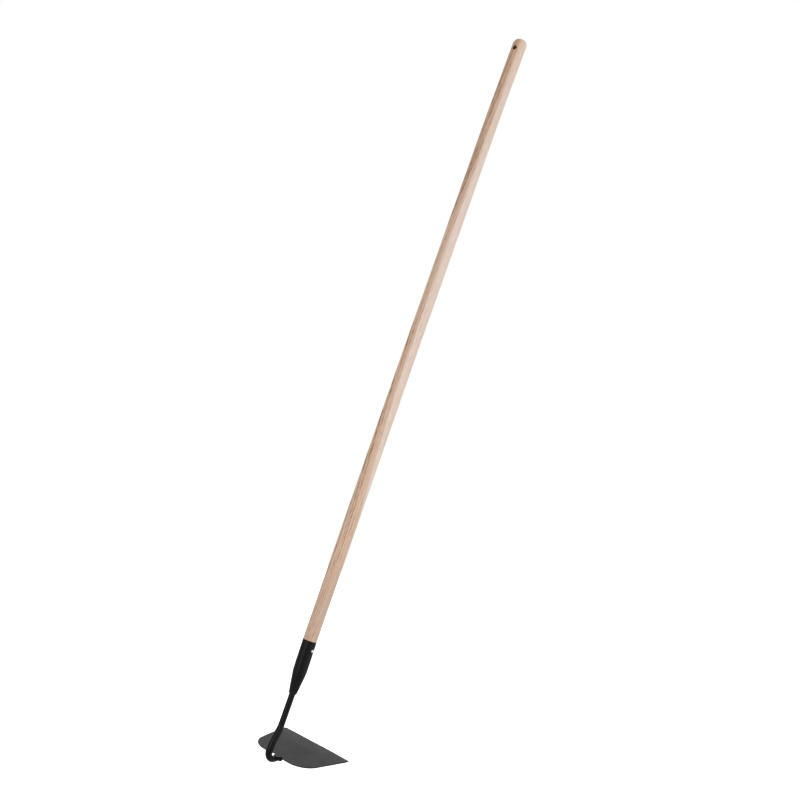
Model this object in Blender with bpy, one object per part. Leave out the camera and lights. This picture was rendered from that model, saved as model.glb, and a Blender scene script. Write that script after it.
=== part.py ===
"""A garden hoe: a turned ash pole, a drawn steel socket, a bent round bar and a D-shaped blade.

Metres, +Z up. The pole stands along Z, and the centre of its hanging hole is the origin.
The blade reaches toward +X, and its cutting edge runs along Y.
"""

import math

import bmesh
import bpy
from mathutils import Matrix, Vector

GAP = 0.0003                      # left between pieces that touch
MM = 0.001                        # the lists of sections below are easier to read in millimetres
SHARP_ANGLE = 35.0                # degrees: edges that turn more than this stay crisp

# Handle, with heights from the centre of the hanging hole
HANDLE_TOP = 0.0225
HANDLE_RADIUS = 0.0140
HANDLE_LOW_RADIUS = 0.0139        # where it meets the socket
TAPER_START = -0.910              # above this the pole is straight
DOME_HEIGHT = 0.0116
CROWN_RADIUS = 0.0060             # nearly flat middle of the dome
CROWN_RISE = 0.0005
CROWN_TIP = 0.0012                # radius of the flat at its very top
HANDLE_SIDES = 48

# Hanging hole through the handle, along X
HOLE_RADIUS = 0.0045
HOLE_MOUTH_RADIUS = 0.0055
HOLE_MOUTH_DEPTH = 0.0016

# Tapered end of the handle inside the socket
TENON_RADIUS = 0.0126
TENON_END_RADIUS = 0.0090
TENON_LENGTH = 0.0580
TENON_CHAMFER = 0.0015

# Socket, whose axis leans a little toward the blade on its way down
RIM_Z = -1.2385
SOCKET_WALL = 0.0011
SOCKET_LEAN = 0.0360              # sideways per unit of depth
SOCKET_OUTER = (                  # depth below the rim and outer radius, mm
    (0.0, 14.0),
    (51.5, 14.0),
    (57.5, 13.95),
    (63.5, 13.65),
    (71.5, 12.7),
    (81.3, 11.4),
    (91.3, 10.1),
    (98.8, 8.95),
    (104.0, 8.2),
)
SOCKET_SIDES = 48

# Neck: a round bar bent in the XZ plane
BAR_RADIUS = 0.0060
BAR_X = 0.0036                    # its straight upper end beside the handle's axis
BAR_TOP_DEPTH = 0.0895            # below the rim, inside the socket
BAR_SIDES = 32
BACK_BEND = (15.8, 0.038)         # angle in degrees and radius of the centre line
BACK_RUN = 0.0175
EASY_BEND = (18.6, 0.072)
HEEL_RADIUS = 0.0171
FOOT_END = 0.0880                 # how far from the cutting edge the bar ends
ARC_STEP = 6.0                    # degrees between sections of a bend

# Blade, flat sheet with its cutting edge toward +X
EDGE_X = 0.1292                   # middle of the cutting edge, on the upper face
EDGE_DEPTH = 0.2021               # below the rim
BLADE_RISE = 13.88                # degrees that the sheet climbs toward its edge
BLADE_THICKNESS = 0.0020
BEVEL_WIDTH = 0.0080
EDGE_THICKNESS = 0.0005
EDGE_FORWARD = 0.0022             # the edge bows this far past its middle
EDGE_SKEW = -0.0158               # and runs a little out of square, per unit along it
BLADE_OUTLINE = (                 # along the edge, back from its middle, corner radius, mm
    (88.5, 0.9, 8.0),
    (69.75, 112.3, 41.0),
    (18.5, 112.5, 4.0),
    (12.6, 108.6, 3.5),
    (8.6, 108.2, 3.5),
    (4.4, 112.9, 3.0),
    (3.6, 116.9, 2.2),
    (-6.2, 117.5, 2.5),
    (-8.6, 113.9, 3.0),
    (-11.4, 109.0, 2.6),
    (-14.3, 108.9, 3.0),
    (-18.3, 112.7, 4.0),
    (-69.9, 113.1, 43.0),
    (-89.2, -1.9, 0.5),
    (-38.0, -2.8, 400.0),
    (12.0, -1.0, 400.0),
    (50.0, -0.5, 400.0),
)
OUTLINE_STEP = 7.5                # degrees between points of a rounded corner

# The seat cut into the bar for the blade
SEAT_START = 0.1178               # distance from the cutting edge
SEAT_LENGTH = 0.040
SEAT_SIZE = 0.030

# Domed screw through the socket's wall into the tenon
SCREW_DEPTH = 0.0175              # below the rim
SCREW_AZIMUTH = -87.0             # degrees about the socket's axis from +X
SCREW_HEAD_RADIUS = 0.0035
SCREW_HEAD_HEIGHT = 0.0022
SCREW_RADIUS = 0.0020
SCREW_LENGTH = 0.0120
SCREW_POINT = 0.0030
SCREW_TIP = 0.0002                # radius of the flats at its point and on its dome
SCREW_SIDES = 24

# Ring of weld under the socket: depth, centre and outer radius, mm
SOCKET_WELD_SECTIONS = (
    (104.3, 3.77, 7.9),
    (104.8, 3.79, 8.1),
    (105.7, 3.78, 7.8),
    (106.6, 3.68, 7.1),
    (107.3, 3.60, 6.6),
)

# Fillets of weld beside the foot: distance from the edge, width on the blade, depth on the bar, mm
LEFT_WELD_SECTIONS = (
    (90.0, 6.6, 3.6),
    (91.5, 8.6, 5.4),
    (95.0, 9.8, 6.8),
    (99.0, 10.2, 7.2),
    (102.0, 9.8, 6.9),
    (104.5, 8.4, 5.8),
    (106.0, 6.8, 4.2),
)
RIGHT_WELD_SECTIONS = (
    (90.0, 6.6, 3.6),
    (91.5, 8.8, 5.6),
    (95.0, 10.2, 7.2),
    (100.0, 11.2, 8.4),
    (105.0, 12.6, 9.2),
    (108.5, 14.6, 9.4),
    (111.5, 15.4, 9.0),
    (113.5, 13.6, 7.6),
    (114.8, 9.6, 5.6),
    (115.5, 7.0, 4.0),
)
WELD_FULLNESS = 0.9               # under 1 swells the face of a fillet, over 1 hollows it
WELD_CURVE_POINTS = 6


def clear_scene():
    """Remove every object that the file opens with."""
    for item in list(bpy.data.objects):
        bpy.data.objects.remove(item, do_unlink=True)


def make_material(name, colour, roughness, metallic):
    """A plain Principled material."""
    material = bpy.data.materials.new(name)
    material.use_nodes = True
    shader = material.node_tree.nodes["Principled BSDF"]
    shader.inputs["Base Color"].default_value = (*colour, 1.0)
    shader.inputs["Roughness"].default_value = roughness
    shader.inputs["Metallic"].default_value = metallic
    return material


def add_object(name, mesh, material):
    """Link a mesh to the scene under its own name and material."""
    thing = bpy.data.objects.new(name, mesh)
    if material:
        mesh.materials.append(material)
    bpy.context.collection.objects.link(thing)
    return thing


def join_rings(bm, near, far):
    """A band of quads between two rings with the same number of vertices."""
    for i in range(len(near)):
        bm.faces.new((near[i - 1], near[i], far[i], far[i - 1]))


def loft(name, rings, material, hollow=False):
    """Skin a run of rings of points: capped at both ends, or joined end to end when hollow."""
    bm = bmesh.new()
    loops = [[bm.verts.new(point) for point in points] for points in rings]
    following = loops[1:] + loops[:1] if hollow else loops[1:]
    for near, far in zip(loops, following):
        join_rings(bm, near, far)
    if not hollow:
        bm.faces.new(loops[0])
        bm.faces.new(loops[-1])
    bmesh.ops.recalc_face_normals(bm, faces=bm.faces[:])
    mesh = bpy.data.meshes.new(name)
    bm.to_mesh(mesh)
    bm.free()
    mesh.shade_smooth()
    mesh.set_sharp_from_angle(angle=math.radians(SHARP_ANGLE))
    return add_object(name, mesh, material)


def circle(centre, radius, sides, heading=0.0):
    """Points round a centre, in the plane square to a heading from straight down toward +X."""
    across = Vector((math.cos(heading), 0.0, math.sin(heading)))
    turns = [2 * math.pi * i / sides for i in range(sides)]
    return [
        Vector(centre) + radius * (math.cos(a) * across + math.sin(a) * Vector((0.0, 1.0, 0.0)))
        for a in turns
    ]


def cut(thing, cutter):
    """Take the cutter's volume away from an object."""
    modifier = thing.modifiers.new(cutter.name, "BOOLEAN")
    modifier.operation = "DIFFERENCE"
    modifier.solver = "EXACT"
    modifier.object = cutter


def hide_cutter(thing):
    """Mark an object as a cutter."""
    thing.hide_render = True
    thing.display_type = "WIRE"
    return thing


def socket_centre(depth):
    """Centre of the leaning socket at a depth below its rim."""
    return Vector((SOCKET_LEAN * depth, 0.0, RIM_Z - depth))


def make_handle(material):
    """The turned pole: dome, straight run, slight taper, shoulder and tenon."""
    dome_base = HANDLE_TOP - CROWN_RISE - DOME_HEIGHT
    sections = [(HANDLE_TOP, CROWN_TIP)]
    for degrees in range(90, -1, -10):
        lift = math.sin(math.radians(degrees))
        spread = math.cos(math.radians(degrees))
        radius = CROWN_RADIUS + (HANDLE_RADIUS - CROWN_RADIUS) * spread
        sections.append((dome_base + DOME_HEIGHT * lift, radius))
    shoulder = RIM_Z + GAP
    tenon_end = RIM_Z - TENON_LENGTH
    sections += [
        (TAPER_START, HANDLE_RADIUS),
        (shoulder, HANDLE_LOW_RADIUS),
        (shoulder, TENON_RADIUS),
        (tenon_end, TENON_END_RADIUS),
        (tenon_end - TENON_CHAMFER, TENON_END_RADIUS - TENON_CHAMFER),
    ]
    rings = [circle((0.0, 0.0, z), radius, HANDLE_SIDES) for z, radius in sections]
    return loft("handle", rings, material)


def make_hole_cutter():
    """The hanging hole, wider at both mouths."""
    inner = HANDLE_RADIUS - HOLE_MOUTH_DEPTH
    slope = (HOLE_MOUTH_RADIUS - HOLE_RADIUS) / HOLE_MOUTH_DEPTH
    reach = HANDLE_RADIUS + HOLE_MOUTH_DEPTH
    outer = HOLE_RADIUS + slope * (reach - inner)
    sections = ((-reach, outer), (-inner, HOLE_RADIUS), (inner, HOLE_RADIUS), (reach, outer))
    rings = [
        circle((x, 0.0, 0.0), radius, SCREW_SIDES, math.radians(90)) for x, radius in sections
    ]
    return hide_cutter(loft("hanging_hole_cutter", rings, None))


def make_socket(material):
    """The drawn tube: down its outside, round its lower lip and up its inside."""
    outside = [(depth * MM, radius * MM) for depth, radius in SOCKET_OUTER]
    inside = [(depth, radius - SOCKET_WALL) for depth, radius in reversed(outside)]
    rings = [circle(socket_centre(d), radius, SOCKET_SIDES) for d, radius in outside + inside]
    return loft("socket", rings, material, hollow=True)


def bar_bends():
    """Centre line through the three bends as (point, heading), from where the first one starts."""
    place = Vector((BAR_X, 0.0, 0.0))
    heading = 0.0
    stations = [(place, heading)]
    heel_turn = 90.0 + BLADE_RISE + BACK_BEND[0] - EASY_BEND[0]
    back = (-BACK_BEND[0], BACK_BEND[1], BACK_RUN)
    easy = (*EASY_BEND, 0.0)
    steps = (back, easy, (heel_turn, HEEL_RADIUS, 0.0))
    for degrees, radius, run in steps:
        side = math.copysign(1.0, degrees)
        middle = place + side * radius * Vector((math.cos(heading), 0.0, math.sin(heading)))
        start = heading
        count = math.ceil(abs(degrees) / ARC_STEP)
        for i in range(1, count + 1):
            heading = start + math.radians(degrees) * i / count
            place = middle - side * radius * Vector((math.cos(heading), 0.0, math.sin(heading)))
            stations.append((place, heading))
        if run:
            place = place + run * Vector((math.sin(heading), 0.0, -math.cos(heading)))
            stations.append((place, heading))
    return stations


def neck_path():
    """Whole centre line: the bends hang where the foot lies level with the blade's upper face."""
    rise = math.radians(BLADE_RISE)
    edge = Vector((EDGE_X, 0.0, RIM_Z - EDGE_DEPTH))
    forward = Vector((math.cos(rise), 0.0, math.sin(rise)))
    normal = Vector((-math.sin(rise), 0.0, math.cos(rise)))
    bends = bar_bends()
    heel, heading = bends[-1]
    drop = Vector((0.0, 0.0, (-BAR_RADIUS - (heel - edge).dot(normal)) / normal.z))
    stations = [(Vector((BAR_X, 0.0, RIM_Z - BAR_TOP_DEPTH)), 0.0)]
    stations += [(place + drop, turn) for place, turn in bends]
    foot = edge - FOOT_END * forward - BAR_RADIUS * normal
    return stations + [(foot, heading)]


def make_neck(material):
    """The bent bar."""
    rings = [circle(place, BAR_RADIUS, BAR_SIDES, heading) for place, heading in neck_path()]
    return loft("neck", rings, material)


def make_blade_frame():
    """Empty at the middle of the cutting edge: +X out past the edge, +Z off the upper face."""
    frame = bpy.data.objects.new("blade_frame", None)
    frame.location = (EDGE_X, 0.0, RIM_Z - EDGE_DEPTH)
    frame.rotation_euler = (0.0, -math.radians(BLADE_RISE), 0.0)
    bpy.context.collection.objects.link(frame)
    return frame


def rounded_corner(before, corner, after, radius):
    """Points of the arc that rounds one corner of an outline."""
    back = (before - corner).normalized()
    ahead = (after - corner).normalized()
    half = back.angle(ahead) / 2
    middle = corner + (back + ahead).normalized() * radius / math.sin(half)
    first = corner + back * radius / math.tan(half) - middle
    last = corner + ahead * radius / math.tan(half) - middle
    turn = first.angle_signed(last)
    steps = max(2, math.ceil(abs(math.degrees(turn)) / OUTLINE_STEP))
    return [
        middle + Matrix.Rotation(-turn * i / steps, 2) @ first for i in range(steps + 1)
    ]


def blade_outline():
    """Points round the blade in its own plane, X out past the cutting edge."""
    corners = [(Vector((-v, u)) * MM, radius * MM) for u, v, radius in BLADE_OUTLINE]
    points = []
    for i, (corner, radius) in enumerate(corners):
        before = corners[i - 1][0]
        after = corners[(i + 1) % len(corners)][0]
        points += rounded_corner(before, corner, after, radius)
    return points


def make_blade(material, frame):
    """The flat sheet, ground thin along the underside of its cutting edge."""
    outline = blade_outline()
    bm = bmesh.new()
    top = bm.faces.new([bm.verts.new((p.x, p.y, 0.0)) for p in outline])
    wall = bmesh.ops.extrude_face_region(bm, geom=[top])
    lower = [item for item in wall["geom"] if isinstance(item, bmesh.types.BMVert)]
    bmesh.ops.translate(bm, verts=lower, vec=(0.0, 0.0, -BLADE_THICKNESS))
    drop = BLADE_THICKNESS - EDGE_THICKNESS
    cut_edges = bmesh.ops.bisect_plane(
        bm,
        geom=bm.verts[:] + bm.edges[:] + bm.faces[:],
        plane_co=(EDGE_FORWARD, 0.0, -EDGE_THICKNESS),
        plane_no=Vector((drop, -drop * EDGE_SKEW, -BEVEL_WIDTH)).normalized(),
        clear_outer=True,
    )
    rim = [item for item in cut_edges["geom_cut"] if isinstance(item, bmesh.types.BMEdge)]
    bmesh.ops.edgenet_fill(bm, edges=rim)
    bmesh.ops.recalc_face_normals(bm, faces=bm.faces[:])
    mesh = bpy.data.meshes.new("blade")
    bm.to_mesh(mesh)
    bm.free()
    blade = add_object("blade", mesh, material)
    blade.parent = frame
    return blade


def make_seat_cutter(frame):
    """Block over the foot that leaves room for the blade and its tongue."""
    bm = bmesh.new()
    bmesh.ops.create_cube(bm, size=1.0)
    bmesh.ops.scale(bm, vec=(SEAT_LENGTH, SEAT_SIZE, SEAT_SIZE), verts=bm.verts[:])
    mesh = bpy.data.meshes.new("seat_cutter")
    bm.to_mesh(mesh)
    bm.free()
    cutter = add_object("seat_cutter", mesh, None)
    underside = -BLADE_THICKNESS - GAP
    cutter.location = (-SEAT_START + SEAT_LENGTH / 2, 0.0, underside + SEAT_SIZE / 2)
    cutter.parent = frame
    return hide_cutter(cutter)


def place_on_socket(thing):
    """Stand an object on the socket's side at the screw, its own +Z pointing outward."""
    thing.location = socket_centre(SCREW_DEPTH)
    thing.rotation_euler = (0.0, math.radians(90), math.radians(SCREW_AZIMUTH))
    return thing


def make_screw(material):
    """Domed head, straight shank and point, along the socket's radius."""
    seat = SOCKET_OUTER[0][1] * MM + GAP
    tip = seat - SCREW_LENGTH
    sections = [
        (tip, SCREW_TIP),
        (tip + SCREW_POINT, SCREW_RADIUS),
        (seat, SCREW_RADIUS),
        (seat, SCREW_HEAD_RADIUS),
    ]
    for degrees in range(15, 90, 15):
        lift = math.sin(math.radians(degrees))
        spread = math.cos(math.radians(degrees))
        sections.append((seat + SCREW_HEAD_HEIGHT * lift, SCREW_HEAD_RADIUS * spread))
    sections.append((seat + SCREW_HEAD_HEIGHT, SCREW_TIP))
    rings = [circle((0.0, 0.0, z), radius, SCREW_SIDES) for z, radius in sections]
    return place_on_socket(loft("fixing_screw", rings, material))


def make_screw_cutter():
    """The screw's hole through the socket's wall and blind into the tenon."""
    far = SOCKET_OUTER[0][1] * MM + SCREW_HEAD_RADIUS
    deep = SOCKET_OUTER[0][1] * MM - SCREW_LENGTH
    rings = [circle((0.0, 0.0, z), SCREW_RADIUS + GAP, SCREW_SIDES) for z in (deep, far)]
    return hide_cutter(place_on_socket(loft("screw_hole_cutter", rings, None)))


def make_socket_weld(material):
    """The ring of weld between the socket's narrow mouth and the bar."""
    outer = [
        circle((x * MM, 0.0, RIM_Z - depth * MM), radius * MM, BAR_SIDES)
        for depth, x, radius in SOCKET_WELD_SECTIONS
    ]
    depths = [depth for depth, _, _ in reversed(SOCKET_WELD_SECTIONS)]
    inner = [
        circle((BAR_X, 0.0, RIM_Z - depth * MM), BAR_RADIUS + GAP, BAR_SIDES) for depth in depths
    ]
    return loft("socket_weld", outer + inner, material, hollow=True)


def weld_section(back, width, depth, side):
    """One cross-section of a fillet, in the blade's frame."""
    clear = BAR_RADIUS + GAP
    plane = -BLADE_THICKNESS - GAP
    start = math.asin((plane + BAR_RADIUS) / clear)
    finish = math.asin((BAR_RADIUS - depth * MM) / clear)
    points = []
    for i in range(WELD_CURVE_POINTS):
        angle = start + (finish - start) * i / (WELD_CURVE_POINTS - 1)
        points.append((clear * math.cos(angle), -BAR_RADIUS + clear * math.sin(angle)))
    root_u, root_t = points[-1]
    toe = width * MM
    for i in range(1, WELD_CURVE_POINTS):
        angle = math.radians(90) * i / (WELD_CURVE_POINTS - 1)
        u = root_u + (toe - root_u) * math.sin(angle) ** WELD_FULLNESS
        t = plane + (root_t - plane) * math.cos(angle) ** WELD_FULLNESS
        points.append((u, t))
    return [Vector((-back * MM, side * u, t)) for u, t in points]


def make_blade_weld(name, sections, side, material, frame):
    """The fillet along one side of the foot, under the blade."""
    rings = [weld_section(*section, side) for section in sections]
    weld = loft(name, rings, material)
    weld.parent = frame
    return weld


def main():
    clear_scene()
    wood = make_material("ash_wood", (0.56, 0.40, 0.27), 0.55, 0.0)
    paint = make_material("black_paint", (0.024, 0.024, 0.025), 0.38, 0.0)
    steel = make_material("bright_steel", (0.62, 0.61, 0.59), 0.28, 1.0)

    handle = make_handle(wood)
    socket = make_socket(paint)
    neck = make_neck(paint)
    frame = make_blade_frame()
    make_blade(paint, frame)
    make_screw(steel)
    make_socket_weld(paint)
    make_blade_weld("blade_weld_left", LEFT_WELD_SECTIONS, 1.0, paint, frame)
    make_blade_weld("blade_weld_right", RIGHT_WELD_SECTIONS, -1.0, paint, frame)

    screw_hole = make_screw_cutter()
    cut(handle, make_hole_cutter())
    cut(handle, screw_hole)
    cut(socket, screw_hole)
    cut(neck, make_seat_cutter(frame))


main()
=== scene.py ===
# %% [markdown]
# # A garden hoe, dressed
#
# The hoe is a turned ash pole, a drawn steel socket, a bent round bar and a flat D-shaped blade.
# Its solids are already modelled and packed. This lesson loads them as a fixed frame, puts a finer
# surface in the place of each one, and gives each surface a finish made of shader nodes.
# Everything is in metres, +Z runs up the pole, and the centre of the hanging hole is the origin.

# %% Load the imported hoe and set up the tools
import math

import bmesh
import bpy
import numpy as np
from mathutils import Matrix, Vector


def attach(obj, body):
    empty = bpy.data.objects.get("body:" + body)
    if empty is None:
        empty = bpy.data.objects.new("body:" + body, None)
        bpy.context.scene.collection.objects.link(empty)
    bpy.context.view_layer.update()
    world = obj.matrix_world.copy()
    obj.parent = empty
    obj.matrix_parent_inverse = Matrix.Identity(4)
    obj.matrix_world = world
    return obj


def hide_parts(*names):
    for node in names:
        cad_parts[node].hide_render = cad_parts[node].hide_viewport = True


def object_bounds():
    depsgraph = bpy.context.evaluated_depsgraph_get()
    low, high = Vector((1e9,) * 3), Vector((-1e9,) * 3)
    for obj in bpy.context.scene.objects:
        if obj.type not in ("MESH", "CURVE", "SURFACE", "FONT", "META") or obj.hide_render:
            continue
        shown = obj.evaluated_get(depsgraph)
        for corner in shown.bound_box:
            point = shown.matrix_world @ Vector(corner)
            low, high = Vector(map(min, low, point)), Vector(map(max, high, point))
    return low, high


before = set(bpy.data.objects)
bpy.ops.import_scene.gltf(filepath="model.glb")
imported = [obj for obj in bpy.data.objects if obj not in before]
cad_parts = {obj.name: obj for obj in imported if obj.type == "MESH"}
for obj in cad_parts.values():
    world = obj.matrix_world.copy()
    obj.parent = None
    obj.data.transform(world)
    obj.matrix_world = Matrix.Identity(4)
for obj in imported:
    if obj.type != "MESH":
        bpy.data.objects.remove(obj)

cad_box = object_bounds()
print("nodes:", sorted(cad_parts))
print("box of the solids:", [round(side, 4) for side in cad_box[1] - cad_box[0]])

# %% [markdown]
# Every piece here is one or more grids of points worked out with numpy. A grid is a function of
# two numbers, such as the angle round the pole and the height on it. Where grids of a piece share
# an edge they are welded, and a ring that has shrunk to nothing becomes one point. Building with
# grids instead of Blender's own cylinders lets a round pole have a bore with a soft mouth and
# still be one closed skin.

# %% Grids of points and how they become one mesh
MM = 0.001
MERGE = 2e-6


def grid_quads(rows, columns, round_trip=True, missing=None):
    """Corner numbers of each cell, row by row; round_trip joins the last column to the first."""
    row, column = np.mgrid[0:rows - 1, 0:columns - (0 if round_trip else 1)]
    here = row * columns + column
    beside = row * columns + (column + 1) % columns
    quads = np.stack((here, beside, beside + columns, here + columns), axis=-1)
    return quads[~missing] if missing is not None else quads.reshape(-1, 4)


def patch(points, round_trip=True, missing=None, **marks):
    """A grid of points with its cells, and any marks: numbers kept at the points for the finish."""
    rows, columns = points.shape[:2]
    kept = {name: np.broadcast_to(value, (rows, columns)).ravel() for name, value in marks.items()}
    return points.reshape(-1, 3), grid_quads(rows, columns, round_trip, missing), kept


def set_up(name, data):
    """Put an object that holds this mesh, lamp or camera in the scene."""
    made = bpy.data.objects.new(name, data)
    bpy.context.scene.collection.objects.link(made)
    return made


def make_piece(name, patches, finish, crease=40.0):
    """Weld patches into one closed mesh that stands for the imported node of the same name."""
    counts = [len(points) for points, _, _ in patches]
    starts = np.cumsum([0] + counts[:-1])
    points = np.concatenate([points for points, _, _ in patches])
    quads = np.concatenate([quads + start for (_, quads, _), start in zip(patches, starts)])
    mesh = bpy.data.meshes.new(name)
    mesh.from_pydata(points, [], quads)
    for mark in sorted({key for _, _, marks in patches for key in marks}):
        values = [marks.get(mark, np.zeros(count)) for (_, _, marks), count in zip(patches, counts)]
        layer = mesh.attributes.new(mark, "FLOAT", "POINT")
        layer.data.foreach_set("value", np.concatenate(values).astype(np.float32))

    bm = bmesh.new()
    bm.from_mesh(mesh)
    bmesh.ops.remove_doubles(bm, verts=bm.verts[:], dist=MERGE)
    bmesh.ops.recalc_face_normals(bm, faces=bm.faces[:])
    open_edges = sum(not edge.is_manifold for edge in bm.edges)
    volume = bm.calc_volume() / MM ** 3
    bm.to_mesh(mesh)
    bm.free()
    mesh.shade_smooth()
    mesh.set_sharp_from_angle(angle=math.radians(crease))
    mesh.materials.append(finish)

    piece = set_up(name + "_skin", mesh)
    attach(piece, "root")
    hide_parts(name)
    print(f"{name}: {len(mesh.polygons)} faces, {open_edges} open edges, {volume:.0f} mm3")


def flowing(positions, values, along):
    """A cubic between each two knots; its slope at a knot is taken from the knots on both sides."""
    positions, values = np.asarray(positions, float), np.asarray(values, float)
    slopes = np.gradient(values, positions)
    i = np.clip(np.searchsorted(positions, along, side="right") - 1, 0, len(positions) - 2)
    span = positions[i + 1] - positions[i]
    t = np.clip((along - positions[i]) / span, 0.0, 1.0)
    ends = (1 + 2 * t) * (1 - t) ** 2 * values[i] + t * t * (3 - 2 * t) * values[i + 1]
    return ends + span * (t * (1 - t) ** 2 * slopes[i] + t * t * (t - 1) * slopes[i + 1])


def ease(value):
    """0 below 0, 1 above 1, and a soft S between."""
    value = np.clip(value, 0.0, 1.0)
    return value * value * (3 - 2 * value)


def around(angle, radius, height, shift=0.0):
    """Places at an angle and a radius round an upright line, at a height; shift moves them along X."""
    angle, radius, height, shift = np.broadcast_arrays(angle, radius, height, shift)
    return np.stack((shift + radius * np.cos(angle), radius * np.sin(angle), height), axis=-1)


print("a grid of 4 rings of 6 points has", len(grid_quads(4, 6)), "cells")

# %% [markdown]
# A finish is a Principled shader with nodes in front of it. Wiring nodes by hand takes many
# lines, so one short helper adds a node, sets it, and joins its inputs in one go. Short ones
# cover the nodes that come back again and again: arithmetic, masks and random patterns.

# %% Helpers for wiring nodes
def put(tree, kind, inputs=None, **settings):
    """Add a node, set it, and fill its inputs with numbers, colours or other nodes' outputs."""
    made = tree.nodes.new("ShaderNode" + kind)
    for name, value in settings.items():
        setattr(made, name, value)
    for name, value in (inputs or {}).items():
        if isinstance(value, bpy.types.NodeSocket):
            tree.links.new(value, made.inputs[name])
        else:
            made.inputs[name].default_value = value
    return made


def sums(tree, operation, *values):
    """One step of arithmetic, such as ADD or MULTIPLY, on numbers or outputs."""
    return put(tree, "Math", dict(enumerate(values)), operation=operation).outputs[0]


def times(tree, first, second, plus=0.0):
    """The product of two numbers or outputs, and something added to it."""
    return sums(tree, "MULTIPLY_ADD", first, second, plus)


def blend(tree, share, first, second, how="MIX"):
    """Mix two colours by a share from 0 to 1."""
    made = put(tree, "Mix", {0: share, 6: first, 7: second}, data_type="RGBA", blend_type=how)
    return made.outputs[2]


def stretch(tree, value, low, high, new_low=0.0, new_high=1.0):
    """Take a value from one range to another along a soft S, held at the ends."""
    given = {"Value": value, "From Min": low, "From Max": high, "To Min": new_low, "To Max": new_high}
    return put(tree, "MapRange", given, interpolation_type="SMOOTHSTEP").outputs[0]


def joined(tree, x, y=0.0, z=0.0):
    """Three numbers made one vector."""
    return put(tree, "CombineXYZ", {0: x, 1: y, 2: z}).outputs[0]


def grey(tree, value):
    """One number made a grey colour."""
    return put(tree, "CombineColor", {0: value, 1: value, 2: value}).outputs[0]


def scaled(tree, vector, rates):
    """The same place with each axis multiplied by its own rate, which squeezes a pattern along it."""
    return put(tree, "VectorMath", {0: vector, 1: rates}, operation="MULTIPLY").outputs[0]


def flat_length(tree, vector):
    """How long a vector is, seen from above."""
    flat = scaled(tree, vector, (1, 1, 0))
    return put(tree, "VectorMath", {0: flat}, operation="LENGTH").outputs["Value"]


def noise(tree, vector, scale=1.0, detail=2.0, roughness=0.5):
    """Soft random values round 0.5 with blobs about one over scale across."""
    given = {"Vector": vector, "Scale": scale, "Detail": detail, "Roughness": roughness}
    return put(tree, "TexNoise", given).outputs[0]


def streaks(tree, vector, rates, low, high, detail=2.0, roughness=0.5):
    """A mask of random streaks: noise at its own rate along each axis, stretched between two levels."""
    return stretch(tree, noise(tree, scaled(tree, vector, rates), 1.0, detail, roughness), low, high)


def new_finish(name):
    """An empty material and its Principled shader, with the piece's own place as a vector."""
    finish = bpy.data.materials.new(name)
    finish.use_nodes = True
    tree = finish.node_tree
    shader = tree.nodes["Principled BSDF"]
    place = put(tree, "TexCoord").outputs["Object"]
    return finish, tree, shader, place


def stored(tree, name):
    """A number that the shape keeps at each of its points."""
    return put(tree, "Attribute", attribute_name=name).outputs["Fac"]


def dress_shader(tree, shader, colour, rough, bump):
    """Join a colour, a roughness, and a bump's strength, depth and height to the shader."""
    strength, depth, height = bump
    bump = put(tree, "Bump", {"Strength": strength, "Distance": depth, "Height": height})
    for socket, value in (("Base Color", colour), ("Roughness", rough), ("Normal", bump.outputs[0])):
        tree.links.new(value, shader.inputs[socket])


def new_group(name, inputs, outputs):
    """A shader node group: a place goes in with named numbers, and named numbers come out."""
    group = bpy.data.node_groups.new(name, "ShaderNodeTree")
    group.interface.new_socket("Place", in_out="INPUT", socket_type="NodeSocketVector")
    for title, value in inputs.items():
        socket = group.interface.new_socket(title, in_out="INPUT", socket_type="NodeSocketFloat")
        socket.default_value = value
    for title in outputs:
        group.interface.new_socket(title, in_out="OUTPUT", socket_type="NodeSocketFloat")
    entry = group.nodes.new("NodeGroupInput").outputs
    leave = group.nodes.new("NodeGroupOutput").inputs
    return group, entry, leave


def use_group(tree, group, place, inputs):
    """Place a group in a material, with this material's own values."""
    return put(tree, "Group", {"Place": place, **inputs}, node_tree=group).outputs


# %% [markdown]
# ## Ash wood
# Ash has wide pores in the part of each growth ring that grew in spring, so every ring starts
# with a browner, speckled band and ends pale. The pole was turned from a straight board: seen
# from one side the rings run as long lines, and from the next they meet in long pointed arches.
# A picture wrapped round the pole couldn't show the rings on the domed end and inside the hole.
# So the wood is a solid pattern: the distance from a pith line beside the pole, cut into rings.

# %% The ash colours and the lie of the rings
PITH = (-0.050, 0.050, 0.0)       # beside the pole, where the tree's middle would be
RING = 0.0052
SWAY = 0.0125                     # how far the rings swing to one side and back
SWAY_HEIGHT = 1.1                 # over this height
HEART_EDGE = 0.0710               # from the pith to where the brown heart wood ends
HEART_MIDDLE = -0.56              # height at which the heart wood comes nearest
PALE_WOOD = (0.690, 0.566, 0.490, 1.0)
ROSY_WOOD = (0.585, 0.420, 0.318, 1.0)    # just inside the heart wood
TAN_WOOD = (0.564, 0.354, 0.224, 1.0)
BROWN_WOOD = (0.130, 0.038, 0.010, 1.0)   # rows of open pores
BORE_SHADE_WOOD = (0.100, 0.058, 0.036, 1.0)   # painted shade down the hanging hole
TOP_TINT = (0.975, 0.925, 0.890, 1.0)     # warmer where hands have held and hung it
LOW_TINT = (0.865, 0.864, 0.886, 1.0)     # warmer and a little darker toward the top end


def pith_distance(tree, place):
    """Distance from the pith line to a place, seen along the pole, with a slow random wander."""
    beside = put(tree, "VectorMath", {0: place, 1: PITH}, operation="SUBTRACT").outputs[0]
    wander = sums(tree, "SUBTRACT", noise(tree, scaled(tree, place, (20, 20, 2.2))), 0.5)
    return times(tree, wander, 0.006, flat_length(tree, beside))


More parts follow.
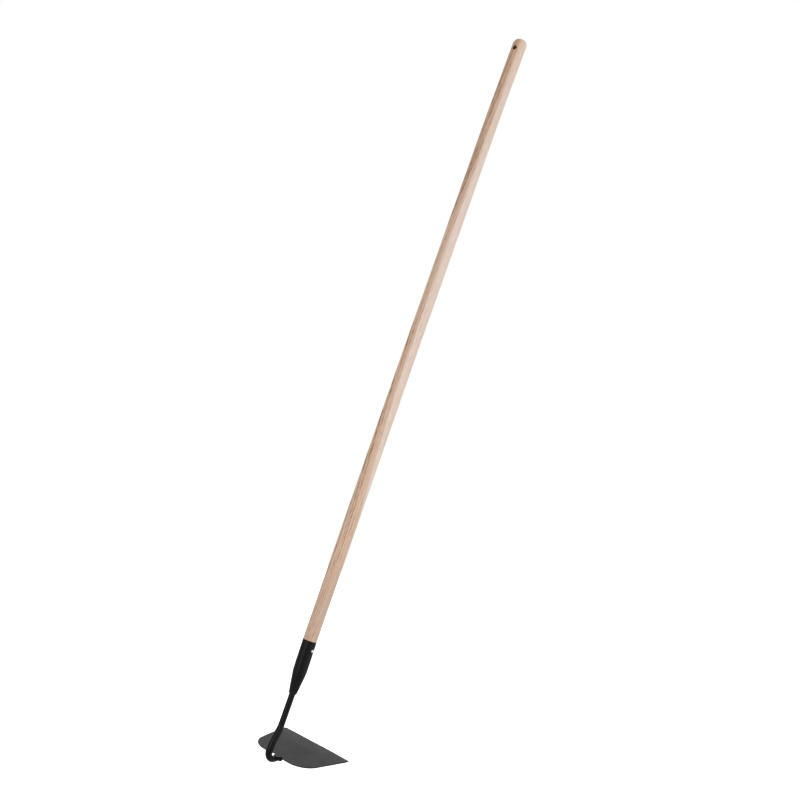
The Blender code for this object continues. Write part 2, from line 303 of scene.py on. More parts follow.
def grain_distance(tree, straight, height):
    """The rings sway: their distance changes by (cos - 1) of the height, so they run out at the side."""
    turn = times(tree, height, 2 * math.pi / SWAY_HEIGHT, math.pi / SWAY_HEIGHT)
    return times(tree, sums(tree, "COSINE", turn), SWAY, sums(tree, "SUBTRACT", straight, SWAY))


def heart_distance(tree, straight, height):
    """The heart wood's border bows as the square of the height, more steeply below its middle."""
    off = sums(tree, "SUBTRACT", height, HEART_MIDDLE)
    steep = times(tree, off, -0.070, 0.0526)
    bow = times(tree, times(tree, off, off), steep, -0.0044)
    return sums(tree, "SUBTRACT", straight, sums(tree, "MINIMUM", bow, 0.011))


print("the pith lies", round(math.hypot(*PITH) / MM, 1), "mm beside the pole's middle")

# %% [markdown]
# Pores make most of what the eye reads as grain. They crowd in the spring side of each ring, and
# between the rings they lie in long thin lines and short lenses. All are cut into dashes, because
# a pore is a tube that runs into the surface and out again. Each pattern is noise that is squeezed
# much more across the pole than along it, and the rates below say by how much.

# %% Rows of pores and the heart wood
LINE_RATES = (360, 3.2, 0)        # noise per metre across the rings, along the pole, and outward
LENS_RATES = (300, 16, 0)
TAN_RATES = (170, 2.6, 0)
BORDER_RATES = (330, 4.0, 0)
DASH_RATES = (620, 620, 70)       # noise per metre along x, y and z
PORE_RATES = (1100, 1100, 75)
FIBRE_RATES = (2600, 2600, 55)
BROAD_RATES = (110, 110, 2.2)
DENSE_HEIGHT = 0.61               # the deeper tone comes and goes once over this height


def pore_rows(tree, along, dashes, grain, height):
    """Where pores crowd: spring wood that fades in and out, or lines and lenses, cut into dashes."""
    turns = sums(tree, "DIVIDE", grain, RING)
    phase = sums(tree, "FRACT", turns)
    spring = times(tree, stretch(tree, phase, 0.25, 0.50, 1.0, 0.0), stretch(tree, phase, 0.0, 0.12))
    ring = times(tree, sums(tree, "FLOOR", turns), 3.7)
    fading = noise(tree, joined(tree, ring, times(tree, height, 5.0)))
    spring = times(tree, spring, stretch(tree, fading, 0.36, 0.60, 0.35, 1.0))
    lines = streaks(tree, along, LINE_RATES, 0.46, 0.58, 3.0, 0.55)
    lenses = streaks(tree, along, LENS_RATES, 0.56, 0.70, 1.0)
    rows = sums(tree, "MAXIMUM", spring, times(tree, lines, 0.5))
    rows = times(tree, lenses, 0.30, rows)
    return times(tree, rows, times(tree, dashes, 0.60, 0.45))


def heart_shares(tree, along, straight, height):
    """Two shares: inside the heart wood's ragged border, and deeper in, where it comes and goes."""
    streak = sums(tree, "SUBTRACT", noise(tree, scaled(tree, along, BORDER_RATES)), 0.5)
    ragged = times(tree, streak, 0.008, heart_distance(tree, straight, height))
    inside = stretch(tree, ragged, HEART_EDGE - 0.0024, HEART_EDGE + 0.0018, 1.0, 0.0)
    lower = sums(tree, "ADD", ragged, stretch(tree, height, -0.95, -0.45, 0.006, 0.0))
    deeper = stretch(tree, lower, HEART_EDGE - 0.0100, HEART_EDGE + 0.0005, 1.0, 0.12)
    turn = times(tree, height, 2 * math.pi / DENSE_HEIGHT, 2 * math.pi * 0.16 / DENSE_HEIGHT)
    dense = times(tree, sums(tree, "COSINE", turn), 0.5, 0.5)
    return inside, times(tree, deeper, times(tree, dense, 0.55, 0.45))


# %% The ash finish
def ash_finish():
    """Pale outer wood and tan heart wood, crossed by rings and by rows of open pores."""
    finish, tree, shader, place = new_finish("ash_wood")
    height = put(tree, "SeparateXYZ", {0: place}).outputs["Z"]
    straight = pith_distance(tree, place)
    grain = grain_distance(tree, straight, height)
    along = joined(tree, grain, height, straight)
    dashes = streaks(tree, place, DASH_RATES, 0.42, 0.62)
    pores = streaks(tree, place, PORE_RATES, 0.54, 0.68, 1.0)
    fibre = noise(tree, scaled(tree, place, FIBRE_RATES))
    rows = pore_rows(tree, along, dashes, grain, height)
    inside, deeper = heart_shares(tree, along, straight, height)

    colour = blend(tree, inside, PALE_WOOD, ROSY_WOOD)
    tan = streaks(tree, along, TAN_RATES, 0.40, 0.60)
    colour = blend(tree, times(tree, deeper, tan), colour, TAN_WOOD)
    broad = sums(tree, "SUBTRACT", noise(tree, scaled(tree, place, BROAD_RATES)), 0.38)
    colour = blend(tree, times(tree, broad, 0.9), colour, ROSY_WOOD)

    strength = times(tree, inside, 0.20, times(tree, deeper, 0.80, 0.01))
    strength = times(tree, strength, stretch(tree, height, -1.20, -1.08, 0.45, 1.0))
    colour = blend(tree, times(tree, rows, strength), colour, BROWN_WOOD)
    crowded = times(tree, times(tree, rows, deeper), 0.4, 0.025)
    marked = times(tree, pores, crowded)
    colour = blend(tree, marked, colour, BROWN_WOOD)

    fleck = times(tree, dashes, -0.07, stretch(tree, fibre, 0.3, 0.7, 0.965, 1.085))
    colour = blend(tree, 1.0, colour, grey(tree, fleck), "MULTIPLY")
    colour = blend(tree, stretch(tree, height, -0.13, -0.02), colour, TOP_TINT, "MULTIPLY")
    colour = blend(tree, stretch(tree, height, -1.20, -1.03, 1.0, 0.0), colour, LOW_TINT, "MULTIPLY")
    # painted shade inside the hanging hole: the wood is drawn dark down the bore
    colour = blend(tree, times(tree, stored(tree, "bored"), 0.85), colour, BORE_SHADE_WOOD)

    relief = times(tree, marked, -2.0, times(tree, fibre, 0.35))
    rough = stretch(tree, sums(tree, "ADD", fibre, marked), 0.3, 1.1, 0.46, 0.66)
    dress_shader(tree, shader, colour, rough, (0.5, 0.12 * MM, relief))
    shader.inputs["Specular IOR Level"].default_value = 0.08    # sanded, not varnished
    return finish


ash_wood = ash_finish()
print("ash rings about", PITH, "every", round(RING / MM, 2), "mm")

# %% [markdown]
# ## Black paint
# The steel parts share one satin black paint. It lies smooth on the tube and bar, shows the
# rolled sheet through it on the blade, and breaks up over the welds. One flat black would hide
# all that and look like plastic. Three effects do it in every painted part, so each is a node
# group: the grain of the sprayed coat, a pale film in soft patches, and wear that follows an
# edge. The pale film is a little dust on the tube, bar and welds. On the blade's upper face
# it is mostly painted sheen: the light that face catches, laid in as colour. The wear reads a
# number that the shape itself stores at each point: how far that point is from an edge, in
# millimetres.

# %% Node groups that the painted parts share
def coat_group():
    """Sprayed coat: fine orange peel as a height, and a slow change of tone."""
    group, given, out = new_group("sprayed_coat", {"Peel": 900.0, "Patch": 30.0}, ("Height", "Tone"))
    peel = noise(group, given["Place"], given["Peel"])
    patches = noise(group, given["Place"], given["Patch"], 3.0, 0.6)
    group.links.new(peel, out["Height"])
    group.links.new(patches, out["Tone"])
    return group


def dust_and_sheen_group():
    """Dust and painted sheen: soft patches broken by fine specks, as a share from 0 to 1."""
    group, given, out = new_group("dust_and_sheen", {"Amount": 0.3}, ("Share",))
    cloud = stretch(group, noise(group, given["Place"], 45.0, 3.0), 0.30, 0.75, 0.65, 1.0)
    speck = stretch(group, noise(group, given["Place"], 1900.0, 1.0), 0.45, 0.70)
    share = times(group, cloud, times(group, speck, 0.6, 0.4))
    group.links.new(times(group, share, given["Amount"]), out["Share"])
    return group


def wear_group():
    """Wear along an edge: full at the edge, gone a width away, with a ragged border."""
    group, given, out = new_group("edge_wear", {"Distance": 1.0, "Width": 1.0}, ("Share",))
    ragged = noise(group, given["Place"], 700.0, 3.0, 0.6)
    reach = times(group, given["Width"], times(group, ragged, 1.6, 0.1))
    inside = sums(group, "SUBTRACT", 1.0, sums(group, "DIVIDE", given["Distance"], reach))
    group.links.new(stretch(group, inside, 0.0, 0.5), out["Share"])
    return group


sprayed_coat = coat_group()
dust_and_sheen = dust_and_sheen_group()
edge_wear = wear_group()
print("shared groups:", [group.name for group in bpy.data.node_groups])

# %% The four painted finishes
PAINT = (0.0016, 0.0016, 0.0017, 1.0)
PAINT_LIGHT = (0.0034, 0.0034, 0.0036, 1.0)
# pale grey: dust on tubes and welds, and painted sheen on the blade's upper face
DUST_AND_SHEEN = (0.116, 0.115, 0.113, 1.0)
RUBBED = (0.045, 0.044, 0.043, 1.0)
# of each paint: grains per metre, their depth in mm, roughness, dust and painted sheen, wear in mm,
# gloss
PAINTS = {
    "tube": (700.0, 0.05, (0.30, 0.36), 0.03, 0.3, 0.095),
    "bar": (700.0, 0.03, (0.19, 0.24), 0.03, 0.3, 0.095),
    "sheet": (500.0, 0.08, (0.38, 0.46), 0.96, 0.6, 0.14),
    "weld": (900.0, 0.10, (0.38, 0.46), 0.08, 0.3, 0.095),
}


def painted_finish(name, peel, depth, rough, dust_and_sheen_amount, wear, gloss):
    """Satin black paint: coat grain, dust and painted sheen, and rubbed edges over two close dark tones.
    """
    finish, tree, shader, place = new_finish(name)
    coat = use_group(tree, sprayed_coat, place, {"Peel": peel})
    # pale film: a little dust on tubes and welds, mostly painted sheen on the blade's upper face
    dust_and_sheen_film = use_group(tree, dust_and_sheen, place, {"Amount": times(tree, stored(tree, "dusty"), dust_and_sheen_amount)})
    rubbed = use_group(tree, edge_wear, place, {"Distance": stored(tree, "edge_mm"), "Width": wear})
    colour = blend(tree, stretch(tree, coat["Tone"], 0.35, 0.65), PAINT, PAINT_LIGHT)
    colour = blend(tree, dust_and_sheen_film["Share"], colour, DUST_AND_SHEEN)
    colour = blend(tree, rubbed["Share"], colour, RUBBED)
    roughness = times(tree, dust_and_sheen_film["Share"], 0.25, stretch(tree, coat["Tone"], 0.3, 0.7, *rough))
    dress_shader(tree, shader, colour, roughness, (0.6, depth * MM, coat["Height"]))
    shader.inputs["Specular IOR Level"].default_value = gloss
    return finish


paint_on = {where: painted_finish("black_paint_" + where, *look) for where, look in PAINTS.items()}
print("paints:", [finish.name for finish in paint_on.values()])

# %% [markdown]
# ## Bright steel
# The one screw is bright and unpainted. Its dome was pressed and lightly polished, so the
# finish is plain metal with fine turning marks that run round the screw's own axis. A number
# stored at each point, the distance from that axis, carries the marks.

# %% The bright steel finish
BRIGHT = (0.66, 0.65, 0.63, 1.0)
DULL = (0.42, 0.41, 0.39, 1.0)


def steel_finish():
    """Bright metal with rings of turning marks and a few dull spots."""
    finish, tree, shader, place = new_finish("bright_steel")
    marks = noise(tree, joined(tree, stored(tree, "from_axis")), 14.0, 3.0)
    dull = stretch(tree, noise(tree, place, 900.0), 0.40, 0.70)
    colour = blend(tree, dull, BRIGHT, DULL)
    rough = stretch(tree, dull, 0.0, 1.0, 0.22, 0.40)
    dress_shader(tree, shader, colour, rough, (0.4, 0.02 * MM, marks))
    shader.inputs["Metallic"].default_value = 1.0
    return finish


bright_steel = steel_finish()
print("finish of the screw:", bright_steel.name)

# %% [markdown]
# ## Windows in a skin
# A hole in a round part is awkward: its mouth is a circle, and the skin around it is a grid of
# angles and heights. Cutting with a Boolean leaves long thin triangles there, and they show as
# creases in the shading. Instead the grid leaves out a rectangle of cells, the window, and a
# collar of rings blends from the rectangle to the circle. Every ring still lies on the skin. A
# window is written as its first and last row and its first and last column.

# %% Windows, collars and round mouths
COLLAR_RINGS = 7


def window_rim(angles, heights, window):
    """Angles and heights of the grid points round a window of cells, in order, once round."""
    top, bottom, first, last = window
    across = np.arange(first, last)
    down = np.arange(top, bottom)
    rows = (np.full_like(across, top), down, np.full_like(across, bottom), down[::-1] + 1)
    columns = (across, np.full_like(down, last), across[::-1] + 1, np.full_like(down, first))
    step = angles[1] - angles[0]
    return angles[0] + step * np.concatenate(columns), heights[np.concatenate(rows)]


def left_out(rows, columns, windows):
    """True for the cells of a grid that lie in a window; a window may cross the seam."""
    missing = np.zeros((rows - 1, columns), bool)
    for top, bottom, first, last in windows:
        missing[top:bottom, np.arange(first, last) % columns] = True
    return missing


def collar(skin, rim, mouth, **more):
    """Rings on a skin that blend from a window's rim to a round mouth."""
    share = np.linspace(0.0, 1.0, COLLAR_RINGS)[:, None]
    return skin(rim[0] + share * (mouth[0] - rim[0]), rim[1] + share * (mouth[1] - rim[1]), **more)


def turned_ring(rim, level):
    """Directions round a mouth at a level, one for each point of the window's rim, as angles."""
    middle = (rim[0].min() + rim[0].max()) / 2
    return np.arctan2((rim[1] - level) / np.ptp(rim[1]), (rim[0] - middle) / np.ptp(rim[0]))


# %% [markdown]
# ## The pole
# The handle is one turned ash pole with a domed top. It is 28 mm thick, slims a little toward
# the socket, steps down at the rim and goes on inside as a tapered tenon. The hanging hole is
# drilled through along X, and its two mouths are sanded round. A lathe and sandpaper leave the
# wood slightly uneven, so the radius wanders by up to a tenth of a millimetre.

# %% The pole's outline
COLUMNS = 96
TURN = np.linspace(0.0, 2 * math.pi, COLUMNS, endpoint=False)
POLE_RADIUS = 14.0 * MM
POLE_LOW_RADIUS = 13.9 * MM
TAPER_START = -910.0 * MM
RIM_Z = -1238.5 * MM
DOME_BASE = 10.4 * MM
DOME_HEIGHT = 11.6 * MM
CROWN_RADIUS = 6.0 * MM
CROWN_RISE = 0.5 * MM
WARP_WAY = np.array((-0.61, 0.79, 0.0))
WARP_HEIGHTS = (-1238.5, -1100, -950, -800, -650, -480, -280, -115, 0, 24)
WARP_SHIFTS = (0, 0.75, 1.5, 2.2, 2.65, 2.5, 2.25, 1.65, 0, -0.38)
UNEVEN = 0.045 * MM


def pole_bow(height):
    """How far the pole has warped sideways: nothing at the hole and the rim, under 3 mm between."""
    return flowing(WARP_HEIGHTS, WARP_SHIFTS, height / MM) * MM


def pole_skin(angle, height):
    """A circle whose radius falls evenly below the taper's start, plus a slow unevenness."""
    slim = np.clip((TAPER_START - height) / (TAPER_START - RIM_Z), 0.0, 1.0)
    radius = POLE_RADIUS + slim * (POLE_LOW_RADIUS - POLE_RADIUS)
    away = ease((-30.0 * MM - height) / 0.05) * ease((height - RIM_Z) / 0.05)
    uneven = np.sin(2 * angle + 9 * height) + 0.7 * np.sin(3 * angle - 31 * height + 1)
    return around(angle, radius + UNEVEN * away * (uneven + 0.6 * np.sin(87 * height + angle)), height)


def dome_skin():
    """A nearly flat crown, then a quarter ellipse down to the pole's side."""
    crown = np.linspace(0.0, CROWN_RADIUS, 7)
    crown_z = DOME_BASE + DOME_HEIGHT + CROWN_RISE * (1 - (crown / CROWN_RADIUS) ** 2)
    turn = np.radians(np.arange(87, -1, -3))
    radius = np.concatenate((crown, CROWN_RADIUS + (POLE_RADIUS - CROWN_RADIUS) * np.cos(turn)))
    height = np.concatenate((crown_z, DOME_BASE + DOME_HEIGHT * np.sin(turn)))
    return around(TURN, radius[:, None], height[:, None])


print("most warp:", round(pole_bow(np.linspace(RIM_Z, 0, 200)).max() / MM, 2), "mm")

# %% The hanging hole and the pole's side
HOLE_RADIUS = 4.5 * MM
MOUTH_RADIUS = 5.5 * MM
MOUTH_DEPTH = 2.0 * MM
CHATTER = 0.02 * MM               # fine rings that the drill leaves
WINDOW_HALF = 8                   # cells each way from the hole's centre
CELL = 0.875 * MM
UNDER_DOME = (9.3 * MM, 8.1 * MM)


def pole_side():
    """The side as a grid of angles and heights, with a window for each mouth of the hole."""
    below = np.linspace(-WINDOW_HALF * CELL, RIM_Z, 216)[1:]
    beside = CELL * np.arange(WINDOW_HALF, -WINDOW_HALF - 1, -1)
    heights = np.concatenate(((DOME_BASE,), UNDER_DOME, beside, below))
    top = 1 + len(UNDER_DOME)
    windows = [(top, top + 2 * WINDOW_HALF, first, first + 2 * WINDOW_HALF)
               for first in (-WINDOW_HALF, COLUMNS // 2 - WINDOW_HALF)]
    grid = pole_skin(TURN, heights[:, None])
    missing = left_out(len(heights), COLUMNS, windows)
    return grid, missing, [window_rim(TURN, heights, window) for window in windows]


def hole_half(rim, side):
    """Collar, rounded mouth and bore of one half of the hanging hole."""
    middle = 0.0 if side > 0 else math.pi
    turn = turned_ring(rim, 0.0)
    lean = np.arcsin(MOUTH_RADIUS * np.cos(turn) / POLE_RADIUS)
    mouth = (middle + lean, MOUTH_RADIUS * np.sin(turn))
    ring = collar(pole_skin, rim, mouth)

    bend = np.radians(np.linspace(0, 90, 9))[:, None]
    radius = HOLE_RADIUS + (MOUTH_RADIUS - HOLE_RADIUS) * (1 - np.sin(bend))
    surface = side * np.sqrt(POLE_RADIUS ** 2 - (MOUTH_RADIUS * np.cos(turn)) ** 2)
    inner = side * (POLE_RADIUS - MOUTH_DEPTH)
    x = surface + (inner - surface) * (1 - np.cos(bend))
    y = side * radius * np.cos(turn)
    lip = np.stack((x, y, radius * np.sin(turn)), axis=-1)

    depth = np.linspace(inner, 0.0, 13)[:, None]
    inside = (depth != 0.0) & (depth != inner)
    radius = HOLE_RADIUS + CHATTER * np.sin(depth * 9000 + turn) * inside
    bore = np.stack((depth + 0 * turn, side * radius * np.cos(turn), radius * np.sin(turn)), axis=-1)
    # share of painted shade: rising through the rounded mouth, full down the bore
    return [patch(ring), patch(lip, bored=np.linspace(0, 1, 9)[:, None] ** 2), patch(bore, bored=1.0)]


def warped(patches):
    """Shift every point sideways by the warp at its height."""
    return [(points + pole_bow(points[:, 2:]) * WARP_WAY, *rest) for points, *rest in patches]


side_grid, side_missing, hole_rims = pole_side()
pole_patches = [patch(dome_skin()), patch(side_grid, missing=side_missing)]
pole_patches = warped(pole_patches + hole_half(hole_rims[0], 1.0) + hole_half(hole_rims[1], -1.0))
print("pole side:", side_grid.shape[0], "rings of", COLUMNS)

# %% [markdown]
# The tenon is hidden in the real hoe, but a model that is taken apart should have it. It
# tapers, ends in a small chamfer, and has a blind hole where the fixing screw bites. The screw
# points at the middle of the leaning socket, which is not quite the middle of the pole.

# %% The shoulder and the tenon
SOCKET_LEAN = 0.036
SCREW_DEPTH = 17.5 * MM
SCREW_TURN = math.radians(-87.0)
SCREW_HOLE = 2.3 * MM
TENON_TOP = 12.6 * MM
TENON_TIP = 9.0 * MM
TENON_LENGTH = 58.0 * MM
TENON_CHAMFER = 1.5 * MM
BLIND_END = 2.0 * MM              # from the socket's middle line


def tenon_radius(height):
    """The radius falls evenly from the shoulder to the tip."""
    return TENON_TOP + (TENON_TIP - TENON_TOP) * (RIM_Z - height) / TENON_LENGTH


def tenon_skin(angle, height):
    """A cone round the pole's own middle line."""
    return around(angle, tenon_radius(height), height)


def screw_mouth(turn, depth, radius, lean=0.0):
    """Angles of the screw's hole on a round skin, whose middle may lean away with depth."""
    shift = (lean * depth - SOCKET_LEAN * SCREW_DEPTH) * math.sin(SCREW_TURN)
    return SCREW_TURN + np.arcsin((SCREW_HOLE * np.cos(turn) + shift) / radius)


def screw_line(turn, radius, out):
    """Points round the screw's line, at a distance out from the socket's middle."""
    centre = np.array((SOCKET_LEAN * SCREW_DEPTH, 0.0, RIM_Z - SCREW_DEPTH))
    outward = np.array((math.cos(SCREW_TURN), math.sin(SCREW_TURN), 0.0))
    across = np.array((-outward[1], outward[0], 0.0))
    turn, radius, out = (part[..., None] for part in np.broadcast_arrays(turn, radius, out))
    return centre + out * outward + radius * (np.cos(turn) * across + np.sin(turn) * np.array((0, 0, 1)))


def shoulder_and_tenon():
    """Flat shoulder, cone with a blind screw hole, chamfer and end."""
    radii = np.array((POLE_LOW_RADIUS, (POLE_LOW_RADIUS + TENON_TOP) / 2, TENON_TOP))[:, None]
    shoulder = around(TURN, radii, RIM_Z)

    near_screw = RIM_Z - SCREW_DEPTH + 0.8 * MM * np.arange(5, -6, -1)
    heights = np.concatenate((RIM_Z - np.linspace(0, 10, 6) * MM, near_screw,
                              RIM_Z - np.linspace(24, 58, 12) * MM))
    window = (6, 16, -27, -17)
    rim = window_rim(TURN, heights, window)
    turn = turned_ring(rim, RIM_Z - SCREW_DEPTH)
    height = RIM_Z - SCREW_DEPTH + SCREW_HOLE * np.sin(turn)
    ring = collar(tenon_skin, rim, (screw_mouth(turn, RIM_Z - height, tenon_radius(height)), height))
    lip = ring[-1]
    share = np.linspace(0, 1, 6)[:, None, None]
    floor = screw_line(turn, SCREW_HOLE, BLIND_END)
    middle = screw_line(turn, 0.0, BLIND_END)
    bore = np.concatenate((lip + share * (floor - lip), middle[None]))

    tip_z = RIM_Z - TENON_LENGTH
    radii = np.array((TENON_TIP, TENON_TIP - TENON_CHAMFER, 0.0))[:, None]
    level = np.array((tip_z, tip_z - TENON_CHAMFER, tip_z - TENON_CHAMFER))[:, None]
    tip = around(TURN, radii, level)
    cone = tenon_skin(TURN, heights[:, None])
    missing = left_out(len(heights), COLUMNS, [window])
    return [patch(shoulder), patch(cone, missing=missing), patch(ring), patch(bore), patch(tip)]


make_piece("handle", pole_patches + shoulder_and_tenon(), ash_wood)

# %% [markdown]
# ## The socket
# A steel tube holds the pole. Its lower half was drawn down over the bar until only a narrow
# mouth is left, and the whole tube leans a little toward the blade. The wall is about a
# millimetre thick with a rounded lip at both ends. Its shape is a list of depths and radii, with
# a smooth curve through them. A Screw modifier could spin the same outline, but a grid made here
# can lean, and can leave a window for the fixing screw.

# %% The drawn tube
SOCKET_WALL = 1.1 * MM
SOCKET_DEPTHS = (0.0, 26.0, 51.5, 57.5, 63.5, 71.5, 81.3, 91.3, 98.8, 104.0)
SOCKET_RADII = (14.0, 14.0, 14.0, 13.95, 13.65, 12.7, 11.4, 10.1, 8.95, 8.2)
SOCKET_END = 104.0 * MM
DRAWN_FROM = 50.0 * MM            # the tools that drew the tube left it uneven from here down
DRAWN_UNEVEN = 0.05 * MM


def tube_radius(depth):
    """The smooth curve through the drawn radii."""
    return flowing(SOCKET_DEPTHS, SOCKET_RADII, depth / MM) * MM


def tube_ring(angle, depth, inset, level):
    """The skin's ring for a depth, less an inset, laid at its own level."""
    uneven = np.sin(3 * angle + 60 * depth) * np.sin(210 * depth + 2 * angle)
    uneven = DRAWN_UNEVEN * ease((depth - DRAWN_FROM) / 0.02) * uneven
    return around(angle, tube_radius(depth) - inset + uneven, RIM_Z - level, SOCKET_LEAN * depth)


def tube_skin(angle, depth, inset=0.0):
    """Circles whose radius follows the drawn curve and whose centre leans with depth."""
    return tube_ring(angle, depth, inset, depth)


def tube_lip(depth, sign):
    """Half a circle that joins the outer skin to the inner one at an end of the tube."""
    bend = np.radians(np.linspace(0, 180, 9))[:, None]
    half = SOCKET_WALL / 2
    level = depth + sign * half * np.sin(bend)
    return tube_ring(TURN, np.full((1, 1), depth), half - half * np.cos(bend), level)


def socket_patches():
    """Outer and inner skins with the screw's hole through both, and a round lip at each end."""
    half = SOCKET_WALL / 2
    near_screw = SCREW_DEPTH + 0.8 * MM * np.arange(-5, 6)
    depths = np.concatenate((np.linspace(half, 12.5 * MM, 8), near_screw,
                             np.linspace(23 * MM, SOCKET_END - half, 56)))
    window = (8, 18, -28, -18)
    rim = window_rim(TURN, depths, window)
    turn = turned_ring(rim, SCREW_DEPTH)
    depth = SCREW_DEPTH + SCREW_HOLE * np.sin(turn)
    missing = left_out(len(depths), COLUMNS, [window])
    edge = np.minimum(depths, SOCKET_END - depths)[:, None] / MM
    parts, lips = [], []
    for inset in (0.0, SOCKET_WALL):
        mouth = (screw_mouth(turn, depth, tube_radius(depth) - inset, SOCKET_LEAN), depth)
        ring = collar(tube_skin, rim, mouth, inset=inset)
        skin = tube_skin(TURN, depths[:, None], inset)
        parts += [patch(skin, missing=missing, edge_mm=edge, dusty=1.0)]
        parts += [patch(ring, edge_mm=4.0, dusty=1.0)]
        lips += [ring[-1]]
    ends = [tube_lip(half, -1.0), tube_lip(SOCKET_END - half, 1.0)]
    return parts + [patch(points) for points in [np.stack(lips)] + ends]


make_piece("socket", socket_patches(), paint_on["tube"])

# %% [markdown]
# ## The blade's place
# The blade is a flat sheet that climbs a little toward its cutting edge. It is easiest to draw
# it in its own plane: u runs along the cutting edge, v runs back from it, and t stands up off
# the upper face. One function takes such a place to the hoe's own frame.

# %% From the blade's plane to the hoe
EDGE_MIDDLE = np.array((0.1292, 0.0, RIM_Z - 0.2021))
RISE = math.radians(13.88)
AHEAD = np.array((math.cos(RISE), 0.0, math.sin(RISE)))
UPWARD = np.array((-math.sin(RISE), 0.0, math.cos(RISE)))
SIDEWAYS = np.array((0.0, 1.0, 0.0))
SHEET = 2.0 * MM


def on_blade(u, v, t):
    """Along the edge by u, back from it by v, and up off the face by t."""
    u, v, t = (part[..., None] for part in np.broadcast_arrays(u, v, t))
    return EDGE_MIDDLE + u * SIDEWAYS - v * AHEAD + t * UPWARD


print("middle of the cutting edge:", np.round(on_blade(0.0, 0.0, 0.0), 4))

# %% [markdown]
# ## The neck
# The neck is a 12 mm round bar. It comes out of the socket's mouth, leans back, swings forward
# round a tight heel and runs on under the blade as a foot. A bent bar is a circle carried along
# a path. The path is worked out from its heading: the heading grows evenly through each bend
# and holds between them, and adding up its sine and cosine gives every place on the way. The
# tool that bent the heel pressed the bar a little wider there, so its circles become ovals. A
# curve with a round bevel would be shorter to write, but it couldn't be widened at the heel or
# pressed flat under the blade.

# %% The bar's path
BAR_RADIUS = 6.15 * MM            # a 12 mm bar with its coat of paint
BAR_X = 3.6 * MM
BAR_TOP = 89.5 * MM               # below the rim
BENDS = ((-15.8, 38.0, 17.5), (18.6, 72.0, 0.0), (101.08, 17.1, 0.0))
FOOT_END = 88.0 * MM              # back from the cutting edge
SEAT_START = 117.7 * MM
SEAT_DEPTH = SHEET + 0.02 * MM


def bar_path(step=0.5 * MM):
    """Places and headings along the bar. A bend is its degrees, its radius and the run after it."""
    length, heading = [0.0], [0.0]
    for degrees, radius, run in BENDS:
        length += [length[-1] + abs(math.radians(degrees)) * radius * MM]
        heading += [heading[-1] + math.radians(degrees)]
        length += [length[-1] + run * MM]
        heading += [heading[-1]]
    bent = length[-1]
    fine = np.linspace(0.0, bent, 8001)
    turn = np.interp(fine, length, heading)
    way = np.stack((np.sin(turn), -np.cos(turn)), axis=-1)
    move = np.diff(fine)[:, None] * (way[:-1] + way[1:]) / 2
    place = np.concatenate((np.zeros((1, 2)), np.cumsum(move, axis=0)))
    heel = np.array((BAR_X + place[-1, 0], 0.0, place[-1, 1])) - EDGE_MIDDLE
    start_z = (-BAR_RADIUS - heel @ UPWARD) / UPWARD[2]
    above = RIM_Z - BAR_TOP - start_z
    foot = -(heel + np.array((0.0, 0.0, start_z))) @ AHEAD - FOOT_END
    total = above + bent + foot
    at = np.unique(np.concatenate((np.arange(0.0, total, step), (total,))))
    turn = np.interp(at - above, length, heading)
    x = BAR_X + np.interp(at - above, fine, place[:, 0])
    z = start_z + np.interp(at - above, fine, place[:, 1])
    z = z + np.maximum(above - at, 0.0)
    past = np.maximum(at - above - bent, 0.0)
    x, z = x + past * math.sin(turn[-1]), z - past * math.cos(turn[-1])
    return np.stack((x, 0 * x, z), axis=-1), turn


bar_places, bar_turns = bar_path()
print("bar:", len(bar_places), "stations, foot ends at", np.round(bar_places[-1], 4))


# %% The bar's skin
BAR_AROUND = np.linspace(0.0, 2 * math.pi, 48, endpoint=False)
BAR_SOFT = 0.7 * MM               # round edge of a sheared end
SQUEEZE = 0.15
SQUEEZE_HEIGHTS = (20.0, 36.0)    # over the blade's edge, mm
SQUEEZE_TURNS = (45.0, 90.0)      # heading of the bar, degrees


def squeezed(places, turns):
    """How much wider than thick the bar is: the bending tool pressed it above and round the heel."""
    height = (places[:, 2] - EDGE_MIDDLE[2]) / MM
    before_foot = ease(np.interp(turns, np.radians(SQUEEZE_TURNS), (1.0, 0.0)))
    return 1.0 + SQUEEZE * before_foot * ease(np.interp(height, SQUEEZE_HEIGHTS, (1.0, 0.0)))


def bar_rings(places, turns, radius):
    """Circles square to the path, one for each place, made wider where the bar was squeezed."""
    across = np.stack((np.cos(turns), 0 * turns, np.sin(turns)), axis=-1)[:, None, :]
    side = SIDEWAYS * squeezed(places, turns)[:, None, None]
    radius = np.broadcast_to(radius, turns.shape)[:, None, None]
    wheel = np.cos(BAR_AROUND)[:, None] * across + np.sin(BAR_AROUND)[:, None] * side
    return places[:, None, :] + radius * wheel


def seated(points, cut):
    """Press everything over the seat down to just under the sheet."""
    rise = (points - EDGE_MIDDLE) @ UPWARD
    over = np.maximum(rise + SEAT_DEPTH, 0.0) * cut[:, None]
    return points - over[..., None] * UPWARD


def bar_end(place, turn, way):
    """A flat sheared end with a small round edge, closed at its middle."""
    bend = np.radians(np.linspace(0, 90, 6))
    short = BAR_SOFT * np.concatenate((1 - np.sin(bend), (0.0, 0.0)))
    radius = np.concatenate((BAR_RADIUS - BAR_SOFT * (1 - np.cos(bend)), (0.5 * BAR_RADIUS, 0.0)))
    along = way * np.array((math.sin(turn), 0.0, -math.cos(turn)))
    return bar_rings(place - short[:, None] * along, np.full(len(short), turn), radius)


